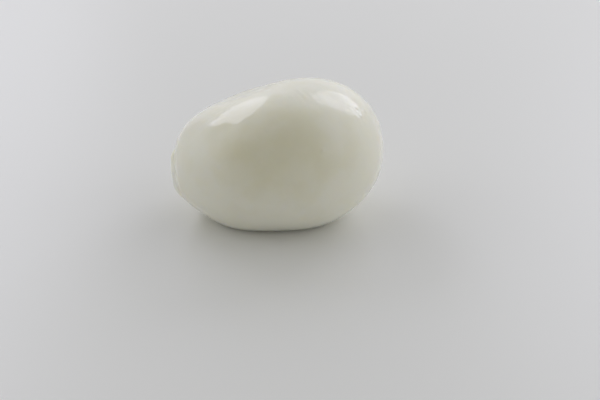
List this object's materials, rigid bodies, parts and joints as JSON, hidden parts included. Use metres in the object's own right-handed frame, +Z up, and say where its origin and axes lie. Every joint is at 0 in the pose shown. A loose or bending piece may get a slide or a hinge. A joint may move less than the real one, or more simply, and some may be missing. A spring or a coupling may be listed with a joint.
{
  "type": "mozzarella ball",
  "caption": "Whole ball of fresh mozzarella: a smooth, wet, ivory ovoid that leans up at one end, with a pinched lip of skin and a small flat foot.",
  "frame": {"origin": "bottom centre of the ball's box, on the surface that it rests on", "axes": "+X along the ball towards its higher, fuller end, away from the pinched lip; -Y is its front; +Z up"},
  "size_m": [0.0914, 0.0804, 0.0578],
  "materials": {
    "curd": "wet, translucent ivory skin of stretched curd, smooth with a faint grain"
  },
  "bodies": {
    "root": {"mozzarella_ball": "curd"}
  },
  "joints": []
}
